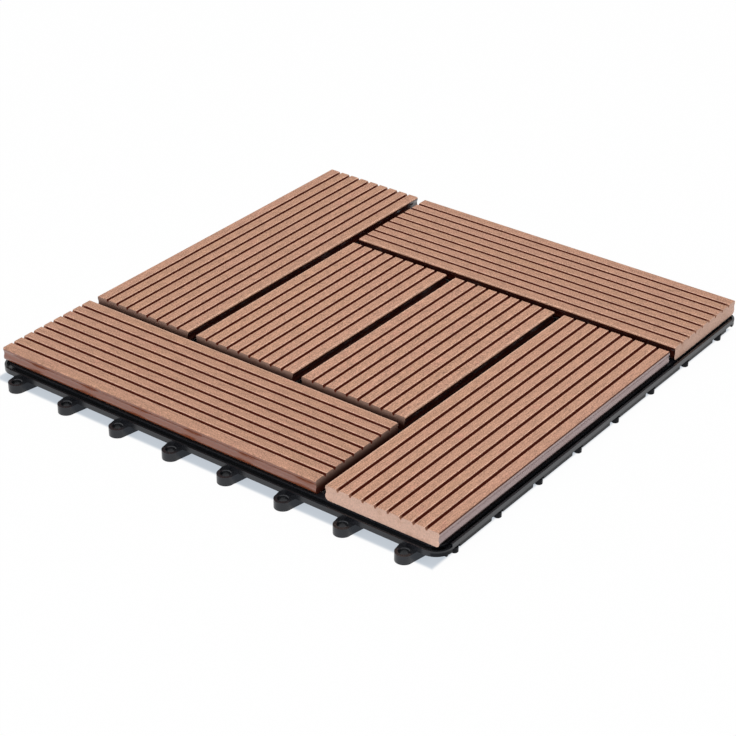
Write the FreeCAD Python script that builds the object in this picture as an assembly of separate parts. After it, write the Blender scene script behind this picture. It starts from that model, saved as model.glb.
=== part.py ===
import FreeCAD, Part
import os
from FreeCAD import Vector

# Interlocking deck tile: six grooved wood-plastic slats on a moulded grid base
# The origin is the middle of one tile's own square, on the ground, and +Z is up
# Loops stand out at the front (-Y) and left (-X), and pegs hang at the back and right

# Whole tile
module_pitch = 300.0
tile_height = 19.0
slat_thickness = 8.5
seat_z = tile_height - slat_thickness

# Slats: four long ones in a pinwheel round two short ones
field_margin = 3.0
slat_gap = 6.0
slat_field = module_pitch - 2.0 * field_margin
slat_lane = (slat_field + slat_gap) / 4.0
slat_width = slat_lane - slat_gap
long_slat = slat_field - slat_lane
short_slat = slat_field - 2.0 * slat_lane
outer_lane = 1.5 * slat_lane
inner_lane = 0.5 * slat_lane
pinwheel_shift = slat_lane / 2.0

# Slat section
ribs_per_slat = 9
groove_width = 1.7
groove_depth = 1.5
groove_floor_width = 1.0
groove_chamfer = 0.3
slat_top_radius = 0.7
slat_bottom_radius = 2.2
slat_hollow_top = 1.8
slat_hollow_bottom = 3.0
slat_hollow_depth = 0.45

# Lattice of the base, its seat wall and its feet
cells_per_side = 16
rib_pitch = module_pitch / cells_per_side
rib_thickness = 2.0
rib_bottom_z = 4.2
wall_setback = 1.7
wall_outer_half = slat_field / 2.0 - wall_setback
wall_thickness = 1.8
flange_overhang = 0.3
flange_outer_half = slat_field / 2.0 + flange_overhang
flange_thickness = 1.2
foot_radius = 3.6
foot_rows = 7
foot_pitch = 2.0 * rib_pitch

# Rim and the gutter behind it
rim_half = module_pitch / 2.0
rim_corner_radius = 10.0
rim_thickness = 1.2
rim_height = 3.1
rim_bottom_z = 5.5
rim_top_z = rim_bottom_z + rim_height
rim_straight_half = rim_half - rim_corner_radius
gutter_floor_thickness = 1.0
gutter_floor_z = rim_bottom_z + gutter_floor_thickness
raised_rim_bottom_z = 7.2
raised_rim_top_z = raised_rim_bottom_z + rim_height
raised_floor_z = raised_rim_bottom_z + gutter_floor_thickness

# Loops and pegs that lock one tile to the next
locks_per_side = 8
lock_pitch = module_pitch / locks_per_side
lock_offset = 3.2
front_lock_shift = -0.4
side_lock_shift = -2.4
peg_radius = 2.1
peg_bottom_z = 1.2
peg_top_z = 4.5
peg_chamfer = 0.3
peg_neck_radius = 1.6
lock_clearance = 0.5
loop_bore_radius = peg_radius + lock_clearance
loop_wall = 2.2
loop_radius = loop_bore_radius + loop_wall
loop_bottom_z = 0.5
loop_top_z = rim_bottom_z
loop_root_flare = 1.7
loop_lead_in = 0.4
pocket_clearance = 0.2
pocket_radius = loop_radius + pocket_clearance

# Apron between the pegs, just inside their middle line so that the loops pass it
apron_setback = lock_offset + 0.1
apron_thickness = 1.8
apron_bottom_z = 1.3

# Screws, driven from below through bosses on the rib crossings
screw_radius = 1.7
screw_head_radius = 3.4
screw_head_height = 1.6
screw_tip_length = 1.6
screw_reach = 5.8
screw_clearance = 0.3
pilot_clearance = 0.05
recess_arm = 2.0
recess_width = 0.9
recess_depth = 1.1
boss_wall = 1.6
boss_radius = screw_head_radius + screw_clearance + boss_wall
boss_bottom_z = 2.0
head_seat_z = 6.2
outer_screw_columns = (5, 7)
outer_screw_rows = (-6, 2)
inner_screw_column = 2
inner_screw_rows = (-3, 3)


def box(x_min, x_max, y_min, y_max, z_min, z_max):
    corner = Vector(x_min, y_min, z_min)
    return Part.makeBox(x_max - x_min, y_max - y_min, z_max - z_min, corner)


def post(radius, x, y, z_min, z_max):
    return Part.makeCylinder(radius, z_max - z_min, Vector(x, y, z_min))


def rounded_square(half, radius, z_min, z_max):
    # A square plate about the origin with rounded upright edges
    plate = box(-half, half, -half, half, z_min, z_max)
    upright = [edge for edge in plate.Edges if abs(edge.tangentAt(edge.FirstParameter).z) > 0.99]
    return plate.makeFillet(radius, upright)


def square_ring(outer_half, thickness, z_min, z_max):
    # A square frame whose corners run parallel to the rim's own
    outer_radius = rim_corner_radius - (rim_half - outer_half)
    outside = rounded_square(outer_half, outer_radius, z_min, z_max)
    inside = rounded_square(outer_half - thickness, outer_radius - thickness, z_min, z_max)
    return outside.cut(inside)


def turned(shape, quarter_turns):
    # A copy turned about the tile's middle
    copy = shape.copy()
    copy.rotate(Vector(0, 0, 0), Vector(0, 0, 1), 90.0 * quarter_turns)
    return copy


def row_positions(count, pitch):
    # Evenly spaced places centred on zero
    first = -pitch * (count - 1) / 2.0
    return [first + pitch * index for index in range(count)]


def line(start, end):
    return Part.LineSegment(Vector(*start), Vector(*end)).toShape()


def arc(start, middle, end):
    return Part.Arc(Vector(*start), Vector(*middle), Vector(*end)).toShape()


def groove_edges(centre):
    # One groove of the slat's top from left to right, with eased lips and a round floor
    half_lip = groove_width / 2.0 + groove_chamfer
    half_mouth = groove_width / 2.0
    half_floor = groove_floor_width / 2.0
    lip_left = (centre - half_lip, 0, 0)
    mouth_left = (centre - half_mouth, 0, -groove_chamfer)
    floor_left = (centre - half_floor, 0, groove_chamfer - groove_depth)
    floor_middle = (centre, 0, -groove_depth)
    floor_right = (centre + half_floor, 0, groove_chamfer - groove_depth)
    mouth_right = (centre + half_mouth, 0, -groove_chamfer)
    lip_right = (centre + half_lip, 0, 0)
    edges = [line(lip_left, mouth_left), line(mouth_left, floor_left)]
    edges.append(arc(floor_left, floor_middle, floor_right))
    edges += [line(floor_right, mouth_right), line(mouth_right, lip_right)]
    return edges, lip_left, lip_right


def flank_edges(side):
    # One side of the section from top to bottom: round, flat, hollow, flat and round
    half = slat_width / 2.0
    round_share = 1.0 - 0.5 ** 0.5
    top_inner = (side * (half - slat_top_radius), 0, 0)
    top_middle = (side * (half - slat_top_radius * round_share), 0, -slat_top_radius * round_share)
    top_outer = (side * half, 0, -slat_top_radius)
    hollow_top = (side * half, 0, -slat_hollow_top)
    hollow_bottom_z = slat_hollow_bottom - slat_thickness
    hollow_middle_z = (hollow_bottom_z - slat_hollow_top) / 2.0
    hollow_middle = (side * (half - slat_hollow_depth), 0, hollow_middle_z)
    hollow_bottom = (side * half, 0, hollow_bottom_z)
    foot_outer = (side * half, 0, slat_bottom_radius - slat_thickness)
    foot_inset = slat_bottom_radius * round_share
    foot_middle = (side * (half - foot_inset), 0, foot_inset - slat_thickness)
    foot_inner = (side * (half - slat_bottom_radius), 0, -slat_thickness)
    edges = [arc(top_inner, top_middle, top_outer)]
    edges.append(line(top_outer, hollow_top))
    edges.append(arc(hollow_top, hollow_middle, hollow_bottom))
    edges.append(line(hollow_bottom, foot_outer))
    edges.append(arc(foot_outer, foot_middle, foot_inner))
    return edges, top_inner, foot_inner


def slat_section():
    # The extruded section of every slat, across X, with its top at zero height
    left_edges, left_top, left_foot = flank_edges(-1)
    right_edges, right_top, right_foot = flank_edges(1)
    top_edges = []
    last = left_top
    for centre in row_positions(ribs_per_slat - 1, slat_width / ribs_per_slat):
        edges, lip_left, lip_right = groove_edges(centre)
        top_edges.append(line(last, lip_left))
        top_edges += edges
        last = lip_right
    top_edges.append(line(last, right_top))
    bottom_edge = line(right_foot, left_foot)
    loose_edges = left_edges + top_edges + right_edges + [bottom_edge]
    return Part.Face(Part.Wire(Part.__sortEdges__(loose_edges)))


def slat(lane, length, shift, screw_places):
    # A slat along Y on its seat, with a blind pilot hole over each screw
    body = slat_section().extrude(Vector(0, length, 0))
    body.translate(Vector(lane, shift - length / 2.0, tile_height))
    pilot_radius = screw_radius + pilot_clearance
    pilot_top = seat_z + screw_reach + pilot_clearance
    pilots = [post(pilot_radius, x, y, seat_z, pilot_top) for x, y in screw_places]
    return body.cut(pilots)


def screw(x, y):
    # A countersunk screw that points up, with a cross recess in its head
    head_bottom = head_seat_z - screw_head_height
    tip_top = seat_z + screw_reach
    tip_start = tip_top - screw_tip_length
    head_base = Vector(x, y, head_bottom)
    head = Part.makeCone(screw_head_radius, screw_radius, screw_head_height, head_base)
    shank = post(screw_radius, x, y, head_seat_z, tip_start)
    tip = Part.makeCone(screw_radius, screw_radius / 4.0, screw_tip_length, Vector(x, y, tip_start))
    body = head.fuse([shank, tip]).removeSplitter()
    half_arm = recess_width / 2.0
    top = head_bottom + recess_depth
    arm = box(x - recess_arm, x + recess_arm, y - half_arm, y + half_arm, head_bottom, top)
    cross_arm = box(x - half_arm, x + half_arm, y - recess_arm, y + recess_arm, head_bottom, top)
    return body.cut([arm, cross_arm])


def lattice():
    # The ribs that carry the slats, from one seat wall to the other
    inner_half = wall_outer_half - wall_thickness
    corner_radius = rim_corner_radius - (rim_half - inner_half)
    pocket = rounded_square(inner_half, corner_radius, rib_bottom_z, seat_z)
    half_rib = rib_thickness / 2.0
    ribs = []
    for place in row_positions(cells_per_side - 1, rib_pitch):
        bar = box(place - half_rib, place + half_rib, -inner_half, inner_half, rib_bottom_z, seat_z)
        ribs += [bar, turned(bar, 1)]
    return square_ring(wall_outer_half, wall_thickness, rib_bottom_z, seat_z).fuse(pocket.cut(pocket.cut(ribs)))


def rim():
    # The lip, the floor of the gutter behind it and the flange over the seat wall
    lip = square_ring(rim_half, rim_thickness, rim_bottom_z, rim_top_z)
    floor_width = rim_half - wall_outer_half + wall_thickness / 2.0
    floor = square_ring(rim_half, floor_width, rim_bottom_z, gutter_floor_z)
    flange_width = flange_outer_half - wall_outer_half + wall_thickness / 2.0
    flange = square_ring(flange_outer_half, flange_width, seat_z - flange_thickness, seat_z)
    return lip.fuse([floor, flange])


def raised_floor():
    # The higher gutter floor of the right side, with a riser at each end
    inner_x = wall_outer_half - wall_thickness / 2.0
    outer_x = rim_half - rim_thickness / 2.0
    half = rim_straight_half + gutter_floor_thickness
    return box(inner_x, outer_x, -half, half, rim_bottom_z, raised_floor_z)


def raised_lip():
    # The lip of the right side, which stands higher by as much as it clears the loops
    half = rim_straight_half
    inner_x = rim_half - rim_thickness
    return box(inner_x, rim_half, -half, half, raised_rim_bottom_z, raised_rim_top_z)


def loop_entry():
    # What the right rim gives up so that the next tile's loops come in under it
    half = rim_straight_half
    outer_x = rim_half + rim_thickness
    return box(wall_outer_half, outer_x, -half, half, rim_bottom_z, raised_rim_bottom_z)


def apron():
    # The wall that hangs under the right rim, before the pockets part it
    outer_x = rim_half - apron_setback
    half = rim_straight_half
    return box(outer_x - apron_thickness, outer_x, -half, half, apron_bottom_z, raised_floor_z)


def peg(y):
    # One peg of the right side, hung by its neck from the raised floor
    x = rim_half - lock_offset
    body = post(peg_radius, x, y, peg_bottom_z, peg_top_z)
    bottom_edges = [edge for edge in body.Edges if edge.BoundBox.ZMax < peg_bottom_z + 0.01]
    neck = post(peg_neck_radius, x, y, peg_bottom_z + peg_chamfer, raised_floor_z)
    return body.makeChamfer(peg_chamfer, bottom_edges).fuse(neck)


def peg_pocket(y):
    # The room round a peg of the right side that the next tile's loop fills
    return post(pocket_radius, rim_half - lock_offset, y, 0.0, raised_rim_bottom_z)


def loop(x):
    # One loop of the front: a ring on a root that flares into the seat wall
    ring_y = -rim_half - lock_offset
    root_y = -wall_outer_half + wall_thickness
    root_half = loop_radius + loop_root_flare
    corners = [(x - loop_radius, ring_y), (x - root_half, root_y)]
    corners += [(x + root_half, root_y), (x + loop_radius, ring_y), (x - loop_radius, ring_y)]
    outline = Part.makePolygon([Vector(a, b, loop_bottom_z) for a, b in corners])
    root = Part.Face(outline).extrude(Vector(0, 0, loop_top_z - loop_bottom_z))
    return post(loop_radius, x, ring_y, loop_bottom_z, loop_top_z).fuse(root)


def loop_tie(x):
    # The short rib that carries a loop's pull to the first crossing of the lattice
    half = rib_thickness / 2.0
    first_rib = rib_pitch * (cells_per_side / 2.0 - 1.0)
    return box(x - half, x + half, -wall_outer_half, -first_rib, loop_bottom_z, rib_bottom_z)


def loop_bore(x):
    # The through hole of a loop, with a lead-in at its top
    ring_y = -rim_half - lock_offset
    hole = post(loop_bore_radius, x, ring_y, loop_bottom_z, loop_top_z)
    lead_base = Vector(x, ring_y, loop_top_z - loop_lead_in)
    lead = Part.makeCone(loop_bore_radius, loop_bore_radius + loop_lead_in, loop_lead_in, lead_base)
    return hole.fuse(lead)


def boss_hole(x, y):
    # The hole of a boss from below: a wide mouth, a countersink and a clearance hole
    sink_bottom = head_seat_z - screw_head_height
    mouth = post(screw_head_radius + screw_clearance, x, y, boss_bottom_z, sink_bottom)
    sink_base = Vector(x, y, sink_bottom)
    sink = Part.makeCone(screw_head_radius, screw_radius, screw_head_height, sink_base)
    shank = post(screw_radius + screw_clearance, x, y, sink_bottom, seat_z)
    return mouth.fuse([sink, shank])


def base_grid(screw_places):
    # The whole moulded base as one solid
    lock_places = row_positions(locks_per_side, lock_pitch)
    front_places = [place + front_lock_shift for place in lock_places]
    side_places = [place + side_lock_shift for place in lock_places]
    back_peg_places = [-place for place in front_places]
    left_loop_places = [-place for place in side_places]
    entries = [loop_entry(), turned(loop_entry(), 1)]
    raised = [raised_floor(), raised_lip(), turned(raised_floor(), 1), turned(raised_lip(), 1)]
    edge = rim().fuse(raised).cut(entries)
    aprons = [apron(), turned(apron(), 1)]
    pockets = [peg_pocket(y) for y in side_places]
    pockets += [turned(peg_pocket(y), 1) for y in back_peg_places]
    frame = lattice().fuse([edge] + aprons).cut(pockets)
    pegs = [peg(y) for y in side_places]
    pegs += [turned(peg(y), 1) for y in back_peg_places]
    loops = [loop(x) for x in front_places]
    loops += [turned(loop(x), -1) for x in left_loop_places]
    ties = [loop_tie(x) for x in lock_places]
    ties += [turned(tie, -1) for tie in ties]
    bosses = [post(boss_radius, x, y, boss_bottom_z, seat_z) for x, y in screw_places]
    foot_places = row_positions(foot_rows, foot_pitch)
    feet = [post(foot_radius, x, y, 0.0, rib_bottom_z) for x in foot_places for y in foot_places]
    base = frame.fuse(pegs + loops + ties + bosses + feet)
    bores = [loop_bore(x) for x in front_places]
    bores += [turned(loop_bore(x), -1) for x in left_loop_places]
    holes = [boss_hole(x, y) for x, y in screw_places]
    return base.cut(bores + holes).removeSplitter()


def save(name, shape):
    shape.exportStep(os.path.join("parts", name + ".step"))
    print(name, "solids", len(shape.Solids), "valid", shape.isValid(), "volume", round(shape.Volume, 1))


def main():
    os.makedirs("parts", exist_ok=True)
    all_screws = []
    outer_places = [(rib_pitch * column, rib_pitch * row)
                    for column in outer_screw_columns for row in outer_screw_rows]
    outer_slat = slat(outer_lane, long_slat, -pinwheel_shift, outer_places)
    outer_screws = [screw(x, y) for x, y in outer_places]
    outer_names = ["slat_front_right", "slat_back_right", "slat_back_left", "slat_front_left"]
    for quarter_turns, name in enumerate(outer_names):
        save(name, turned(outer_slat, quarter_turns))
        screws = Part.makeCompound([turned(item, quarter_turns) for item in outer_screws])
        save(name + "_screws", screws)
        spots = [turned(Part.Vertex(x, y, 0), quarter_turns).Point for x, y in outer_places]
        all_screws += [(spot.x, spot.y) for spot in spots]
    for name, side in (("slat_inner_left", -1), ("slat_inner_right", 1)):
        column = side * inner_screw_column
        places = [(rib_pitch * column, rib_pitch * row) for row in inner_screw_rows]
        save(name, slat(side * inner_lane, short_slat, 0.0, places))
        save(name + "_screws", Part.makeCompound([screw(x, y) for x, y in places]))
        all_screws += places
    save("base_grid", base_grid(all_screws))


main()
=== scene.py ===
import bpy
from mathutils import Matrix, Vector


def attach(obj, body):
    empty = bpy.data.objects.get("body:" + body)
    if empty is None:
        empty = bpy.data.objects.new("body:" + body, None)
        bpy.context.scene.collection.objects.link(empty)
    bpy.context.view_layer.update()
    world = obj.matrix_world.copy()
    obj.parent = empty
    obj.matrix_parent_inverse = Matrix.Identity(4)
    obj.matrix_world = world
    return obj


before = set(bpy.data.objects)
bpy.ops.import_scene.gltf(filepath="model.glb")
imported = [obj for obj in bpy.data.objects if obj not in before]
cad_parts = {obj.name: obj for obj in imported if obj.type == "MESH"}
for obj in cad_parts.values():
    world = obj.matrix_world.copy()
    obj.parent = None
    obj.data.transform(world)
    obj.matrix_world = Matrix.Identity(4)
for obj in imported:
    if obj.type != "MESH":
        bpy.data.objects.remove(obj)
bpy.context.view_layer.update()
print("frame loaded:", len(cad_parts), "nodes")

mm = 0.001
plainWhite = (1.0, 1.0, 1.0, 1.0)


def linearColour(red, green, blue):
    # a colour picked as 0 to 255, turned into what a shader takes
    def channel(value):
        value = value / 255.0
        return value / 12.92 if value <= 0.04045 else ((value + 0.055) / 1.055) ** 2.4
    return (channel(red), channel(green), channel(blue), 1.0)


def newObject(name, data):
    holder = bpy.data.objects.new(name, data)
    bpy.context.scene.collection.objects.link(holder)
    return holder


class NodeBench:
    # short ways to add and join the nodes of one tree
    def __init__(self, tree):
        self.tree = tree
        tree.nodes.clear()

    def feed(self, socket, value):
        if isinstance(value, bpy.types.NodeSocket):
            self.tree.links.new(value, socket)
        else:
            socket.default_value = value

    def add(self, kind, **settings):
        node = self.tree.nodes.new(kind)
        for name, value in settings.items():
            setattr(node, name, value)
        return node

    def maths(self, operation, first, second=0.0, third=0.0, clamp=False):
        node = self.add("ShaderNodeMath", operation=operation, use_clamp=clamp)
        self.feed(node.inputs[0], first)
        self.feed(node.inputs[1], second)
        self.feed(node.inputs[2], third)
        return node.outputs[0]

    def times(self, first, *others):
        for value in others:
            first = self.maths("MULTIPLY", first, value)
        return first

    def plus(self, first, *others):
        for value in others:
            first = self.maths("ADD", first, value)
        return first

    def step(self, value, band, start=0.0):
        # 0 before the band, 1 past it, smooth between; the band is counted from start
        node = self.add("ShaderNodeMapRange", interpolation_type="SMOOTHSTEP")
        self.feed(node.inputs["Value"], value)
        self.feed(node.inputs["From Min"], start + band[0])
        self.feed(node.inputs["From Max"], start + band[1])
        return node.outputs["Result"]

    def scaled(self, value, limits):
        # a 0 to 1 value spread over the limits
        node = self.add("ShaderNodeMapRange")
        self.feed(node.inputs["Value"], value)
        self.feed(node.inputs["To Min"], limits[0])
        self.feed(node.inputs["To Max"], limits[1])
        return node.outputs["Result"]

    def swing(self, value, reach):
        # a 0 to 1 noise turned into a swing either side of zero
        return self.maths("MULTIPLY_ADD", value, 2.0 * reach, -reach)

    def mixed(self, factor, first, second):
        node = self.add("ShaderNodeMix", data_type="FLOAT")
        self.feed(node.inputs[0], factor)
        self.feed(node.inputs[2], first)
        self.feed(node.inputs[3], second)
        return node.outputs[0]

    def blend(self, factor, first, second, kind="MIX"):
        node = self.add("ShaderNodeMix", data_type="RGBA", blend_type=kind)
        self.feed(node.inputs[0], factor)
        self.feed(node.inputs[6], first)
        self.feed(node.inputs[7], second)
        return node.outputs[2]

    def combine(self, x, y, z):
        node = self.add("ShaderNodeCombineXYZ")
        for socket, value in zip(node.inputs, (x, y, z)):
            self.feed(socket, value)
        return node.outputs[0]

    def shaded(self, colour, level):
        # the colour made lighter above a level of 1, darker below it
        return self.blend(1.0, colour, self.combine(level, level, level), "MULTIPLY")

    def split(self, vector):
        node = self.add("ShaderNodeSeparateXYZ")
        self.feed(node.inputs[0], vector)
        return node.outputs

    def spot(self):
        # where the point is on the piece, in millimetres
        coordinates = self.add("ShaderNodeTexCoord")
        scale = self.add("ShaderNodeVectorMath", operation="SCALE")
        self.feed(scale.inputs[0], coordinates.outputs["Object"])
        self.feed(scale.inputs["Scale"], 1.0 / mm)
        return scale.outputs[0]

    def facing(self):
        geometry = self.add("ShaderNodeNewGeometry")
        return self.split(geometry.outputs["True Normal"])

    def noise(self, vector, scale, detail, roughness, distortion=0.0):
        node = self.add("ShaderNodeTexNoise")
        self.feed(node.inputs["Vector"], vector)
        self.feed(node.inputs["Scale"], scale)
        self.feed(node.inputs["Detail"], detail)
        self.feed(node.inputs["Roughness"], roughness)
        self.feed(node.inputs["Distortion"], distortion)
        return node.outputs["Fac"]

    def bump(self, height, distance, strength):
        # a 0 to 1 height raised by the distance, in millimetres
        node = self.add("ShaderNodeBump")
        self.feed(node.inputs["Height"], height)
        self.feed(node.inputs["Distance"], distance * mm)
        self.feed(node.inputs["Strength"], strength)
        return node.outputs["Normal"]

    def seen(self):
        # 1 where the camera looks at it, straight, in a reflection or through glass
        rays = self.add("ShaderNodeLightPath")
        direct = self.maths("MAXIMUM", rays.outputs["Is Camera Ray"],
                            rays.outputs["Is Glossy Ray"])
        return self.maths("MAXIMUM", direct, rays.outputs["Is Transmission Ray"])

    def close(self, shader, kind="ShaderNodeOutputMaterial"):
        output = self.add(kind)
        self.feed(output.inputs["Surface"], shader.outputs[0])


def newFinish(name):
    material = bpy.data.materials.new(name)
    material.use_nodes = True
    return material, NodeBench(material.node_tree)


# lengths are in millimetres; a pair is a soft edge, off at its first number and full at
# its second, or the range that a noise or a mask is spread over
slat = {
    "width": 69.0,
    "ribs": 9,
    "topHeight": 19.0,
    "grooveDepth": 1.5,
    "outerLane": 112.5,
    "innerLane": 37.5,
    "endPlace": 147.0,
    # the brushed top
    "tan": linearColour(194, 149, 120),
    "pink": linearColour(199, 150, 129),
    "rosePatch": linearColour(204, 140, 124),
    # paler groove lips and gap-side top edges: partly real wear, partly a painted highlight
    "lip": linearColour(238, 196, 172),
    "ribShare": 0.3,
    "driftShare": (-0.1, 0.7),
    "rosePlace": (0.6, 0.74),
    "roseShare": (0.0, 0.25),
    "streakSwing": 0.45,
    "grainSwing": 0.95,
    "cloudSwing": 0.12,
    "topRoughness": (0.66, 0.86),
    # grooves, dark partly in their unbrushed colour and partly as painted shade, and their
    # lips, paler partly from wear and partly as a painted highlight
    "groove": linearColour(88, 25, 0),
    "grooveEnd": linearColour(158, 112, 90),
    "ribbedInset": (-2.0, -2.6),
    "grooveFloor": (0.5, 0.2),
    "grooveTop": (0.05, 0.22),
    "openEnd": (-2.8, -0.6),
    "lipReach": (1.75, 1.2),
    "lipDepth": (0.3, 0.1),
    "lipTurn": (-0.05, 0.05),
    "lipWearAndHighlight": (0.25, 0.75),
    "cornerInset": (-1.4, -0.9),
    "cornerDepth": (0.5, 0.25),
    "cornerHighlight": (0.4, 0.0),
    # the smooth sides, with fine lines from the die
    "skin": linearColour(120, 60, 32),
    # painted reflection: a pale grey skin for the rim side of the front right slat, standing in
    # for the sheen of the white floor
    "paleSheenSkin": linearColour(172, 152, 151),
    # painted shade: a thin dark line just under the top edge of the side at the rim
    "shadedEdgeLine": linearColour(84, 44, 28),
    # painted shade: the low part of each side, dark towards its foot
    "sideFootShade": linearColour(30, 20, 20),
    # painted shade: the sides that face a gap between slats
    "gapSideShade": linearColour(58, 18, 9),
    "skinShare": (0.0, 0.3),
    "sideFacing": (0.35, 0.75),
    "sideInset": (-2.6, -2.2),
    "rimSide": (0.0, 1.0),
    "topEdgeBlur": (-0.25, 0.25),
    "footBlur": (0.0, 0.8),
    "edgeDepth": (0.9, 0.5),
    "edgeInset": (-0.6, -0.3),
    "sideRoughness": (0.3, 0.4),
    "coatDepth": (0.5, 1.0),
    "coatRoughness": 0.1,
    "coatIor": 1.72,
    "dieLineHeight": 0.12,
    "dieLineStrength": 1.0,
    # the sawn ends
    "cutEnd": linearColour(208, 172, 154),
    "cutFleck": linearColour(168, 124, 98),
    "gapEnd": linearColour(70, 24, 10),
    "endFacing": (0.6, 0.8),
    "endSwing": 0.3,
    "endDepth": (0.0, 8.0),
    "endShade": (0.96, 1.08),
    "cutFleckPlace": (0.55, 0.7),
    "cutFleckShare": (0.0, 0.3),
    "gapEndPlace": (10.0, 0.0),
    "gapEndDepth": (0.0, 6.0),
    "gapEndShade": (0.45, 1.0),
    # noises: scale, detail and roughness, and how far each is drawn out along the slat
    "streakNoise": (1.1, 2.0, 0.6),
    "driftNoise": (0.09, 3.0, 0.55),
    "cloudNoise": (0.35, 2.0, 0.5),
    "grainNoise": (1.5, 1.0, 0.6),
    "blotchNoise": (0.12, 2.0, 0.5),
    "dieLineNoise": (2.2, 1.0, 0.5),
    "streakDraw": 0.16,
    "driftDraw": 0.22,
    "grainDraw": 1.0,
    "dieLineDraw": 0.02,
    "seedStep": 173.3,
    "ribSeedStep": 11.7,
    "driftShift": 31.0,
    "grainShift": 77.0,
    # gloss and relief of the composite
    "specular": 0.2,
    "streakRelief": 0.7,
    "grainRelief": 0.5,
    "reliefHeight": 0.1,
    "reliefStrength": 0.6,
}


def slatReadings(bench, alongX, lane):
    # where a point lies on its slat, and how far the surface there faces its end or side
    place = bench.split(bench.spot())
    facing = bench.facing()
    length, width = (0, 1) if alongX else (1, 0)
    pitch = slat["width"] / slat["ribs"]
    side = bench.maths("SUBTRACT", place[width], lane)
    rib = bench.maths("DIVIDE", bench.plus(side, slat["width"] / 2.0), pitch)
    grooveSide = bench.maths("SUBTRACT", bench.maths("FRACT", bench.plus(rib, 0.5)), 0.5)
    return {
        "along": place[length],
        "across": place[width],
        "height": place[2],
        "depth": bench.maths("SUBTRACT", slat["topHeight"], place[2]),
        "fromMiddle": bench.maths("ABSOLUTE", place[length]),
        "side": side,
        "fromLane": bench.maths("ABSOLUTE", side),
        "ribNumber": bench.maths("FLOOR", rib),
        "grooveSide": grooveSide,
        "fromGroove": bench.times(bench.maths("ABSOLUTE", grooveSide), pitch),
        "facesEnd": bench.maths("ABSOLUTE", facing[length]),
        "facesSide": bench.maths("ABSOLUTE", facing[width]),
    }


def slatMasks(bench, at, alongX, outward, topEdge, edgeLine):
    # 1 where a look belongs, 0 elsewhere
    half = slat["width"] / 2.0
    end = bench.step(at["facesEnd"], slat["endFacing"])
    notEnd = bench.maths("SUBTRACT", 1.0, end)
    ribbed = bench.times(bench.step(at["fromLane"], slat["ribbedInset"], half),
                         bench.step(at["depth"], slat["grooveFloor"], slat["grooveDepth"]),
                         notEnd)
    # the lips of the grooves are paler, partly from real wear and partly as a painted
    # highlight: the lip that faces the light is painted paler than the other
    litLip = bench.step(bench.times(at["grooveSide"], 1.0 if alongX else -1.0), slat["lipTurn"])
    lip = bench.times(bench.step(at["fromGroove"], slat["lipReach"]), ribbed,
                      bench.step(at["depth"], slat["lipDepth"]),
                      bench.scaled(litLip, slat["lipWearAndHighlight"]))
    rimSide = bench.step(bench.times(at["side"], outward), slat["rimSide"])
    # painted highlight: the long top edges that face a gap are painted paler, those at the rim
    # are not
    corner = bench.times(bench.step(at["fromLane"], slat["cornerInset"], half), notEnd,
                         bench.step(at["depth"], slat["cornerDepth"]),
                         bench.scaled(rimSide, slat["cornerHighlight"]))
    return {
        "end": end,
        "groove": bench.times(ribbed, bench.step(at["depth"], slat["grooveTop"])),
        "openEnd": bench.step(at["fromMiddle"], slat["openEnd"], slat["endPlace"]),
        "lip": bench.maths("MAXIMUM", lip, corner),
        "rimSide": rimSide,
        "side": bench.times(bench.step(at["facesSide"], slat["sideFacing"]),
                            bench.step(at["fromLane"], slat["sideInset"], half), notEnd,
                            bench.step(at["depth"], slat["topEdgeBlur"], topEdge)),
        "edge": bench.times(bench.step(at["depth"], slat["edgeDepth"]),
                            bench.step(at["fromLane"], slat["edgeInset"], half),
                            bench.scaled(rimSide, (0.0, edgeLine))),
    }


def slatNoises(bench, at, seed):
    # the same pattern lies along every slat, drawn out in the extruded direction
    def drawn(draw, shift):
        return bench.combine(bench.times(at["along"], draw), at["across"],
                             bench.plus(at["height"], shift))

    start = seed * slat["seedStep"]
    broad = drawn(slat["driftDraw"], start + slat["driftShift"])
    loose = drawn(slat["grainDraw"], start + slat["grainShift"])
    ribTone = bench.add("ShaderNodeTexWhiteNoise", noise_dimensions="1D")
    bench.feed(ribTone.inputs["W"], bench.plus(at["ribNumber"], seed * slat["ribSeedStep"]))
    return {
        "rib": ribTone.outputs["Value"],
        "streaks": bench.noise(drawn(slat["streakDraw"], start), *slat["streakNoise"]),
        "drift": bench.noise(broad, *slat["driftNoise"]),
        "cloud": bench.noise(broad, *slat["cloudNoise"]),
        "grain": bench.noise(loose, *slat["grainNoise"]),
        "blotch": bench.noise(loose, *slat["blotchNoise"]),
        "dieLines": bench.noise(drawn(slat["dieLineDraw"], 0.0), *slat["dieLineNoise"]),
    }


def slatTopColour(bench, mask, noise, shade):
    tone = bench.plus(bench.times(noise["rib"], slat["ribShare"]),
                      bench.scaled(noise["drift"], slat["driftShare"]))
    colour = bench.blend(bench.maths("MAXIMUM", tone, 0.0, clamp=True),
                         slat["tan"], slat["pink"])
    rose = bench.step(noise["blotch"], slat["rosePlace"])
    colour = bench.blend(bench.scaled(rose, slat["roseShare"]), colour, slat["rosePatch"])
    colour = bench.blend(mask["lip"], colour, slat["lip"])
    # fine brushed flecks, lighter and darker than the composite round them
    fleck = bench.plus(bench.swing(noise["streaks"], slat["streakSwing"]),
                       bench.swing(noise["grain"], slat["grainSwing"]),
                       bench.swing(noise["cloud"], slat["cloudSwing"]))
    return bench.shaded(colour, bench.plus(bench.times(fleck, shade), shade))


def slatSideColour(bench, at, mask, noise, skin, footDepth):
    colour = bench.blend(bench.scaled(noise["cloud"], slat["skinShare"]),
                         slat[skin], slat["skin"])
    # painted shade: a side that faces another slat is darkened for the gap
    colour = bench.blend(mask["rimSide"], slat["gapSideShade"], colour)
    # painted shade: the side turns dark below the foot depth
    foot = bench.step(at["depth"], slat["footBlur"], footDepth)
    return bench.blend(foot, colour, slat["sideFootShade"])


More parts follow.
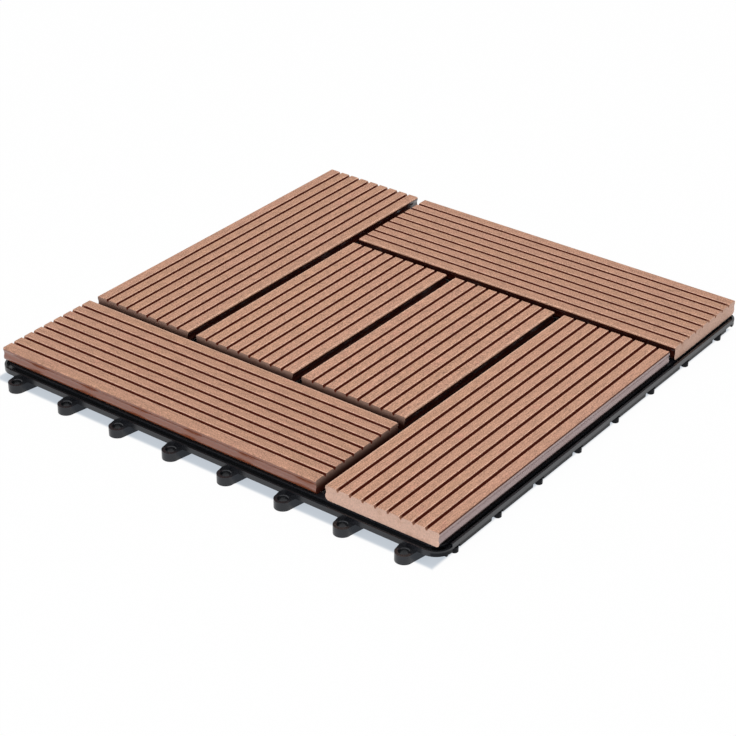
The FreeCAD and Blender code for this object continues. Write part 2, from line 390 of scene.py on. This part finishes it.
def slatEndColour(bench, at, noise):
    level = bench.plus(bench.swing(noise["grain"], slat["endSwing"]), 1.0)
    # painted light: the sawn end grows lighter towards the bottom, as if lit by the white floor
    low = bench.step(at["depth"], slat["endDepth"])
    level = bench.times(level, bench.scaled(low, slat["endShade"]))
    colour = bench.shaded(slat["cutEnd"], level)
    fleck = bench.step(noise["blotch"], slat["cutFleckPlace"])
    colour = bench.blend(bench.scaled(fleck, slat["cutFleckShare"]), colour, slat["cutFleck"])
    # painted shade: an end that faces another slat is darkened for the dark of the gap, more so
    # lower down
    low = bench.step(at["depth"], slat["gapEndDepth"])
    gap = bench.times(bench.step(at["fromMiddle"], slat["gapEndPlace"], slat["outerLane"]),
                      bench.scaled(low, slat["gapEndShade"]))
    return bench.blend(gap, colour, slat["gapEnd"])


def slatFinish(name, alongX, lane, seed, outward=0.0, skin="skin", gloss=1.0, edgeLine=0.0,
               topEdge=0.8, footDepth=7.3, shade=1.0):
    # extruded wood-plastic: brushed ribbed top, smooth shiny sides, sawn ends;
    # outward is the way the side at the rim of the tile faces, 0 where both sides face a gap
    material, bench = newFinish(name)
    at = slatReadings(bench, alongX, lane)
    mask = slatMasks(bench, at, alongX, outward, topEdge, edgeLine)
    noise = slatNoises(bench, at, seed)

    # painted light: the grooves turn paler towards an open end of the slat, where their painted
    # shade is lifted
    grooveColour = bench.blend(mask["openEnd"], slat["groove"], slat["grooveEnd"])
    colour = bench.blend(mask["groove"], slatTopColour(bench, mask, noise, shade), grooveColour)
    colour = bench.blend(mask["side"], colour,
                         slatSideColour(bench, at, mask, noise, skin, footDepth))
    # painted shade: a thin dark line under the top edge of the rim side
    colour = bench.blend(mask["edge"], colour, slat["shadedEdgeLine"])
    colour = bench.blend(mask["end"], colour, slatEndColour(bench, at, noise))
    roughness = bench.mixed(mask["side"], bench.scaled(noise["streaks"], slat["topRoughness"]),
                            bench.scaled(noise["drift"], slat["sideRoughness"]))
    coated = bench.scaled(bench.step(at["depth"], slat["coatDepth"]), (0.0, gloss))
    # brushed top and sawn ends are rough, the skin of the sides only shows its die lines
    relief = bench.plus(bench.times(noise["streaks"], slat["streakRelief"]),
                        bench.times(noise["grain"], slat["grainRelief"]))
    relief = bench.times(relief, bench.scaled(mask["side"], (1.0, 0.0)))

    shader = bench.add("ShaderNodeBsdfPrincipled")
    bench.feed(shader.inputs["Base Color"], colour)
    bench.feed(shader.inputs["Roughness"], roughness)
    bench.feed(shader.inputs["Specular IOR Level"], slat["specular"])
    bench.feed(shader.inputs["Normal"],
               bench.bump(relief, slat["reliefHeight"], slat["reliefStrength"]))
    bench.feed(shader.inputs["Coat Weight"], bench.times(mask["side"], coated))
    bench.feed(shader.inputs["Coat Roughness"], slat["coatRoughness"])
    bench.feed(shader.inputs["Coat IOR"], slat["coatIor"])
    bench.feed(shader.inputs["Coat Normal"],
               bench.bump(noise["dieLines"], slat["dieLineHeight"], slat["dieLineStrength"]))
    bench.close(shader)
    return material


# the two middle slats face gaps on both sides; the side of the front right one is painted pale
# grey as a painted reflection of the white floor
slatPlan = {
    # shade is painted shade on the top: the slats along x catch less light on their brushed
    # tops
    "slat_front_left": {"alongX": True, "lane": -slat["outerLane"], "seed": 1,
                        "outward": -1.0, "shade": 0.905},
    "slat_front_right": {"alongX": False, "lane": slat["outerLane"], "seed": 2,
                         "outward": 1.0, "skin": "paleSheenSkin", "gloss": 0.4,
                         "edgeLine": 1.0, "topEdge": 0.0, "footDepth": 5.8},
    "slat_back_right": {"alongX": True, "lane": slat["outerLane"], "seed": 3,
                        "outward": 1.0, "shade": 0.93},
    "slat_back_left": {"alongX": False, "lane": -slat["outerLane"], "seed": 4,
                       "outward": -1.0, "shade": 0.965},
    "slat_inner_left": {"alongX": False, "lane": -slat["innerLane"], "seed": 5},
    "slat_inner_right": {"alongX": False, "lane": slat["innerLane"], "seed": 6},
}

base = {
    "black": linearColour(17, 18, 22),
    "bloom": linearColour(42, 44, 50),
    "flowNoise": (0.06, 3.0, 0.6, 0.4),
    "flowPlace": (0.45, 0.8),
    "flowShare": (0.0, 0.35),
    "scuffNoise": (0.4, 3.0, 0.6),
    "scuffPlace": (0.58, 0.8),
    "scuffShare": (0.0, 0.4),
    "roughness": (0.2, 0.32),
    # painted shade: the skirt under the raised edge is given less specular than the rim above
    # it, darkening it as the shade under the rim
    "skirtPlace": (143.0, 144.0),
    "skirtHeight": (8.1, 7.1),
    "specular": (0.5, 0.12),
    "specularTint": (0.93, 0.95, 1.0, 1.0),
    "skinNoise": (0.8, 2.0, 0.5),
    "flowRelief": 3.0,
    "reliefHeight": 0.01,
    "reliefStrength": 0.15,
}


def baseFinish(name):
    # semi-gloss black polypropylene with a fine moulded skin and a faint bloom
    material, bench = newFinish(name)
    point = bench.spot()
    place = bench.split(point)
    flow = bench.noise(point, *base["flowNoise"])
    scuff = bench.noise(point, *base["scuffNoise"])
    flowBloom = bench.scaled(bench.step(flow, base["flowPlace"]), base["flowShare"])
    scuffBloom = bench.scaled(bench.step(scuff, base["scuffPlace"]), base["scuffShare"])
    colour = bench.blend(flowBloom, base["black"], base["bloom"])
    colour = bench.blend(scuffBloom, colour, base["bloom"])
    skirt = bench.times(bench.step(place[0], base["skirtPlace"]),
                        bench.step(place[2], base["skirtHeight"]))
    relief = bench.plus(bench.noise(point, *base["skinNoise"]),
                        bench.times(flow, base["flowRelief"]))
    shader = bench.add("ShaderNodeBsdfPrincipled")
    bench.feed(shader.inputs["Base Color"], colour)
    bench.feed(shader.inputs["Roughness"], bench.scaled(scuff, base["roughness"]))
    bench.feed(shader.inputs["Specular IOR Level"], bench.scaled(skirt, base["specular"]))
    bench.feed(shader.inputs["Specular Tint"], base["specularTint"])
    bench.feed(shader.inputs["Normal"],
               bench.bump(relief, base["reliefHeight"], base["reliefStrength"]))
    bench.close(shader)
    return material


screw = {
    "bright": linearColour(196, 196, 192),
    "dull": linearColour(172, 171, 166),
    "toneNoise": (0.8, 2.0, 0.5),
    "grainNoise": (6.0, 3.0, 0.6),
    "roughness": (0.24, 0.42),
    "reliefHeight": 0.02,
    "reliefStrength": 0.4,
}


def screwFinish(name):
    # turned stainless steel, slightly brushed round the head
    material, bench = newFinish(name)
    point = bench.spot()
    grain = bench.noise(point, *screw["grainNoise"])
    tone = bench.noise(point, *screw["toneNoise"])
    shader = bench.add("ShaderNodeBsdfPrincipled")
    bench.feed(shader.inputs["Metallic"], 1.0)
    bench.feed(shader.inputs["Base Color"], bench.blend(tone, screw["bright"], screw["dull"]))
    bench.feed(shader.inputs["Roughness"], bench.scaled(grain, screw["roughness"]))
    bench.feed(shader.inputs["Normal"],
               bench.bump(grain, screw["reliefHeight"], screw["reliefStrength"]))
    bench.close(shader)
    return material


def dress(node, material):
    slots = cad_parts[node].material_slots
    if slots:
        for slot in slots:
            slot.material = material
    else:
        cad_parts[node].data.materials.append(material)


steel = screwFinish("stainlessSteel")
for node, plan in slatPlan.items():
    dress(node, slatFinish(node + "_composite", **plan))
    dress(node + "_screws", steel)
dress("base_grid", baseFinish("blackMoulding"))
print("finishes made for slats, base and screws")

# columns and rows are counted in ribs of the base, for one outer slat and for the inner two
thread = {
    "ribPitch": 18.75,
    "outerColumns": (5, 7),
    "outerRows": (-6, 2),
    "innerColumns": (-2, 2),
    "innerRows": (-3, 3),
    "bottom": 7.4,
    "height": 6.6,
    "turns": 5.5,
    "radius": 1.62,
    "wire": 0.3,
    "wireSides": 3,
    "stepsPerTurn": 14,
}


def turnedPlace(x, y, quarterTurns):
    for _ in range(quarterTurns):
        x, y = -y, x
    return x, y


def screwPlaces():
    pitch = thread["ribPitch"]
    outer = [(pitch * column, pitch * row)
             for column in thread["outerColumns"] for row in thread["outerRows"]]
    spots = [turnedPlace(x, y, quarter) for quarter in range(4) for x, y in outer]
    spots += [(pitch * column, pitch * row)
              for column in thread["innerColumns"] for row in thread["innerRows"]]
    return spots


def threadTree(material):
    # a helix of wire on every point of the mesh that carries the modifier
    tree = bpy.data.node_groups.new("screwThreadTree", "GeometryNodeTree")
    face = tree.interface
    face.new_socket("Geometry", in_out="INPUT", socket_type="NodeSocketGeometry")
    for name in ("Height", "Turns", "Radius", "Wire"):
        face.new_socket(name, in_out="INPUT", socket_type="NodeSocketFloat")
    for name in ("Wire Sides", "Steps Per Turn"):
        face.new_socket(name, in_out="INPUT", socket_type="NodeSocketInt")
    face.new_socket("Geometry", in_out="OUTPUT", socket_type="NodeSocketGeometry")
    bench = NodeBench(tree)
    start = bench.add("NodeGroupInput")
    spiral = bench.add("GeometryNodeCurveSpiral")
    bench.feed(spiral.inputs["Resolution"], start.outputs["Steps Per Turn"])
    bench.feed(spiral.inputs["Rotations"], start.outputs["Turns"])
    bench.feed(spiral.inputs["Start Radius"], start.outputs["Radius"])
    bench.feed(spiral.inputs["End Radius"], start.outputs["Radius"])
    bench.feed(spiral.inputs["Height"], start.outputs["Height"])
    profile = bench.add("GeometryNodeCurvePrimitiveCircle")
    bench.feed(profile.inputs["Resolution"], start.outputs["Wire Sides"])
    bench.feed(profile.inputs["Radius"], start.outputs["Wire"])
    wire = bench.add("GeometryNodeCurveToMesh")
    bench.feed(wire.inputs["Curve"], spiral.outputs[0])
    bench.feed(wire.inputs["Profile Curve"], profile.outputs[0])
    bench.feed(wire.inputs["Fill Caps"], True)
    spread = bench.add("GeometryNodeInstanceOnPoints")
    bench.feed(spread.inputs["Points"], start.outputs["Geometry"])
    bench.feed(spread.inputs["Instance"], wire.outputs[0])
    solid = bench.add("GeometryNodeRealizeInstances")
    bench.feed(solid.inputs[0], spread.outputs[0])
    paint = bench.add("GeometryNodeSetMaterial")
    bench.feed(paint.inputs["Geometry"], solid.outputs[0])
    bench.feed(paint.inputs["Material"], material)
    end = bench.add("NodeGroupOutput")
    bench.feed(end.inputs[0], paint.outputs[0])
    return tree


def bakedPiece(name, startMesh, tree, values):
    # runs the tree once and keeps its result as a plain mesh
    carrier = newObject(name + "Start", startMesh)
    modifier = carrier.modifiers.new("tree", "NODES")
    modifier.node_group = tree
    for item in tree.interface.items_tree:
        if item.item_type == "SOCKET" and item.in_out == "INPUT" and item.name in values:
            modifier[item.identifier] = values[item.name]
    graph = bpy.context.evaluated_depsgraph_get()
    graph.update()
    mesh = bpy.data.meshes.new_from_object(carrier.evaluated_get(graph), depsgraph=graph)
    bpy.data.objects.remove(carrier)
    mesh.name = name
    return newObject(name, mesh)


def makeThreads():
    startMesh = bpy.data.meshes.new("screwSpots")
    low = thread["bottom"] * mm
    startMesh.from_pydata([(x * mm, y * mm, low) for x, y in screwPlaces()], [], [])
    values = {
        "Height": thread["height"] * mm,
        "Turns": thread["turns"],
        "Radius": thread["radius"] * mm,
        "Wire": thread["wire"] * mm,
        "Wire Sides": thread["wireSides"],
        "Steps Per Turn": thread["stepsPerTurn"],
    }
    threads = bakedPiece("screwThreads", startMesh, threadTree(steel), values)
    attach(threads, "root")
    print("screw threads made:", len(threads.data.polygons), "faces")


makeThreads()

# floor, sky and lamps: sizes and places in metres, the soft edges on the floor in
# millimetres from the middle of the tile
studio = {
    "floorSize": 4.0,
    "floorDrop": 0.0001,
    "paper": (0.92, 0.93, 0.95, 1.0),
    "farWhite": 0.98,
    "nearWhite": 0.78,
    "shadeTint": (0.62, 0.68, 0.75, 1.0),
    "cover": (141.5, 143.5),
    "shadeBand": (149.5, 152.0),
    "pegSideLift": 5.0,
    "overhead": (0.25, 0.6),
    "skyStrength": (1.16, 0.3),
    "keyPlace": (-0.35, -1.5, 0.7),
    "keySize": 0.9,
    "keyPower": 6.4,
    "topPlace": (0.1, 0.1, 1.6),
    "topSize": 1.2,
    "topPower": 11.5,
}


def floorFinish(name):
    material, bench = newFinish(name)
    paper = bench.add("ShaderNodeBsdfDiffuse")
    bench.feed(paper.inputs["Color"], studio["paper"])
    white = bench.add("ShaderNodeEmission")
    # the paper stays dark under the tile; under its lip it shows partly the real shade of the
    # paper and partly a painted blue-grey shade in its white
    x, y, _ = bench.split(bench.spot())
    reach = bench.maths("MAXIMUM", bench.plus(x, studio["pegSideLift"]), bench.times(x, -1.0))
    reach = bench.maths("MAXIMUM", reach, bench.plus(y, studio["pegSideLift"]))
    reach = bench.maths("MAXIMUM", reach, bench.times(y, -1.0))
    near = bench.times(bench.step(reach, studio["cover"]), studio["nearWhite"])
    far = bench.step(reach, studio["shadeBand"])
    share = bench.maths("MULTIPLY_ADD", far, studio["farWhite"] - studio["nearWhite"], near)
    bench.feed(white.inputs["Color"], bench.blend(far, studio["shadeTint"], plainWhite))
    mix = bench.add("ShaderNodeMixShader")
    bench.feed(mix.inputs[0], bench.times(bench.seen(), share))
    bench.feed(mix.inputs[1], paper.outputs[0])
    bench.feed(mix.inputs[2], white.outputs[0])
    bench.close(mix)
    return material


def makeFloor():
    half = studio["floorSize"] / 2.0
    low = -studio["floorDrop"]
    corners = [(-half, -half, low), (half, -half, low), (half, half, low), (-half, half, low)]
    mesh = bpy.data.meshes.new("floor")
    mesh.from_pydata(corners, [], [(0, 1, 2, 3)])
    mesh.materials.append(floorFinish("studioFloor"))
    newObject("floor", mesh)


def makeWorld():
    world = bpy.data.worlds.new("studio")
    bpy.context.scene.world = world
    world.use_nodes = True
    bench = NodeBench(world.node_tree)
    # pale walls all round, dimmer overhead
    coordinates = bench.add("ShaderNodeTexCoord")
    height = bench.split(coordinates.outputs["Generated"])[2]
    strength = bench.scaled(bench.step(height, studio["overhead"]), studio["skyStrength"])
    seen = bench.seen()
    unseen = bench.maths("SUBTRACT", 1.0, seen)
    sky = bench.add("ShaderNodeBackground")
    bench.feed(sky.inputs["Color"], plainWhite)
    bench.feed(sky.inputs["Strength"], bench.maths("MULTIPLY_ADD", strength, unseen, seen))
    bench.close(sky, "ShaderNodeOutputWorld")


def makeLamp(name, place, size, power):
    lamp = bpy.data.lights.new(name, "AREA")
    lamp.shape = "SQUARE"
    lamp.size = size
    lamp.energy = power
    holder = newObject(name, lamp)
    holder.location = place
    holder.rotation_euler = (-Vector(place)).to_track_quat("-Z", "Y").to_euler()
    holder.visible_camera = False


cameraView = {
    "eye": (0.59976, -0.80796, 0.57770),
    "right": (0.79837349, 0.60214586, 0.00448588),
    "up": (-0.30683936, 0.40039985, 0.86344054),
    "back": (0.51812100, -0.69072449, 0.50443068),
    "lens": 100.08,
    "sensor": 36.0,
    "clipStart": 0.01,
    "clipEnd": 20.0,
}


def makeCamera():
    camera = bpy.data.cameras.new("camera")
    camera.lens = cameraView["lens"]
    camera.sensor_width = cameraView["sensor"]
    camera.clip_start = cameraView["clipStart"]
    camera.clip_end = cameraView["clipEnd"]
    holder = newObject("camera", camera)
    axes = Matrix((cameraView["right"], cameraView["up"], cameraView["back"])).transposed()
    holder.matrix_world = Matrix.Translation(cameraView["eye"]) @ axes.to_4x4()
    bpy.context.scene.camera = holder


makeFloor()
makeWorld()
makeLamp("keyLamp", studio["keyPlace"], studio["keySize"], studio["keyPower"])
makeLamp("topLamp", studio["topPlace"], studio["topSize"], studio["topPower"])
makeCamera()
bpy.context.scene.view_settings.view_transform = "Standard"
print("floor, lamps and camera set")
